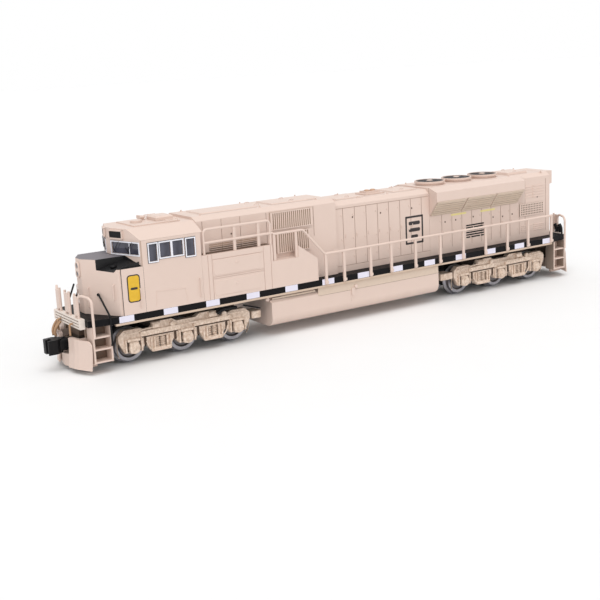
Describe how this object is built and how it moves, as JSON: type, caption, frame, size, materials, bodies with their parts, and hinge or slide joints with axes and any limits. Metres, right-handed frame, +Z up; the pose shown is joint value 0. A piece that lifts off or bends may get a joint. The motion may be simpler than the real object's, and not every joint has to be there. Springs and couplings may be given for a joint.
{
  "type": "scale model diesel locomotive",
  "caption": "Small-scale model of a six-axle road diesel with a wide nose, flared radiator hood, walkway rails, two swivelling trucks and knuckle couplers.",
  "frame": {"origin": "centre of the outline on the plane under the wheel flanges", "axes": "+X forward towards the cab and nose, +Y the locomotive's left, +Z up"},
  "size_m": [0.1528, 0.0204, 0.0305],
  "materials": {
    "body_paint": "cream-beige paint, satin",
    "truck_paint": "tan paint, satin",
    "intake_dark": "washed grille brown",
    "black_plastic": "black moulded plastic",
    "deck_black": "black walkway with pale blocks on the sill",
    "zinc_weight": "cast metal, raw",
    "wheel_metal": "plated wheels, treads polished",
    "clear_glazing": "clear plastic glazing over a dark cab",
    "frame_white": "printed pale window gaskets"
  },
  "bodies": {
    "body": {"anticlimbers": "body_paint", "cab_roof": "body_paint", "cab_roof_units": "body_paint", "cab_shell": "body_paint", "chassis_weight": "zinc_weight", "coupler_pockets": "black_plastic", "end_hoses": "black_plastic", "equipment_hood": "body_paint", "exhaust_stack": "body_paint", "fan_grilles": "black_plastic", "fan_housings": "body_paint", "front_end_rails": "body_paint", "front_pilot": "body_paint", "front_steps": "body_paint", "fuel_tank": "body_paint", "grab_bars": "black_plastic", "headlights": "body_paint", "horn": "body_paint", "intake_grilles": "intake_dark", "left_cabinets": "body_paint", "left_handrail": "body_paint", "long_hood": "body_paint", "louvres": "body_paint", "mesh_panels": "body_paint", "nose": "body_paint", "number_boards": "black_plastic", "radiator_hood": "body_paint", "rear_end_rails": "body_paint", "rear_lamps": "body_paint", "rear_pilot": "body_paint", "rear_steps": "body_paint", "right_cabinets": "body_paint", "right_handrail": "body_paint", "roof_hatches": "body_paint", "side_glass": "clear_glazing", "underframe": "deck_black", "window_frames": "frame_white", "windshield": "clear_glazing"},
    "front_truck": {"front_truck_frame": "truck_paint", "front_gearcase": "black_plastic"},
    "rear_truck": {"rear_truck_frame": "truck_paint", "rear_gearcase": "black_plastic"},
    "front_coupler": {"front_coupler": "black_plastic"},
    "rear_coupler": {"rear_coupler": "black_plastic"},
    "wheelset_1": {"wheelset_1": "wheel_metal"},
    "wheelset_2": {"wheelset_2": "wheel_metal"},
    "wheelset_3": {"wheelset_3": "wheel_metal"},
    "wheelset_4": {"wheelset_4": "wheel_metal"},
    "wheelset_5": {"wheelset_5": "wheel_metal"},
    "wheelset_6": {"wheelset_6": "wheel_metal"}
  },
  "joints": [
    {"name": "front_truck_swivel", "type": "hinge", "parent": "body", "child": "front_truck", "pos_m": [0.0469, 0, 0.00865], "axis": [0, 0, 1], "range_deg": [-10, 10]},
    {"name": "rear_truck_swivel", "type": "hinge", "parent": "body", "child": "rear_truck", "pos_m": [-0.0469, 0, 0.00865], "axis": [0, 0, 1], "range_deg": [-10, 10]},
    {"name": "front_coupler_swing", "type": "hinge", "parent": "body", "child": "front_coupler", "pos_m": [0.0672, 0, 0.00565], "axis": [0, 0, 1], "range_deg": [-12, 12], "stiffness_Nm_per_rad": 0.00002},
    {"name": "rear_coupler_swing", "type": "hinge", "parent": "body", "child": "rear_coupler", "pos_m": [-0.0672, 0, 0.00565], "axis": [0, 0, 1], "range_deg": [-12, 12], "stiffness_Nm_per_rad": 0.00002},
    {"name": "wheelset_1_turn", "type": "hinge", "parent": "front_truck", "child": "wheelset_1", "pos_m": [0.05975, 0, 0.00397], "axis": [0, 1, 0], "continuous": true},
    {"name": "wheelset_2_turn", "type": "hinge", "parent": "front_truck", "child": "wheelset_2", "pos_m": [0.0469, 0, 0.00397], "axis": [0, 1, 0], "continuous": true},
    {"name": "wheelset_3_turn", "type": "hinge", "parent": "front_truck", "child": "wheelset_3", "pos_m": [0.03405, 0, 0.00397], "axis": [0, 1, 0], "continuous": true},
    {"name": "wheelset_4_turn", "type": "hinge", "parent": "rear_truck", "child": "wheelset_4", "pos_m": [-0.03405, 0, 0.00397], "axis": [0, 1, 0], "continuous": true},
    {"name": "wheelset_5_turn", "type": "hinge", "parent": "rear_truck", "child": "wheelset_5", "pos_m": [-0.0469, 0, 0.00397], "axis": [0, 1, 0], "continuous": true},
    {"name": "wheelset_6_turn", "type": "hinge", "parent": "rear_truck", "child": "wheelset_6", "pos_m": [-0.05975, 0, 0.00397], "axis": [0, 1, 0], "continuous": true}
  ]
}
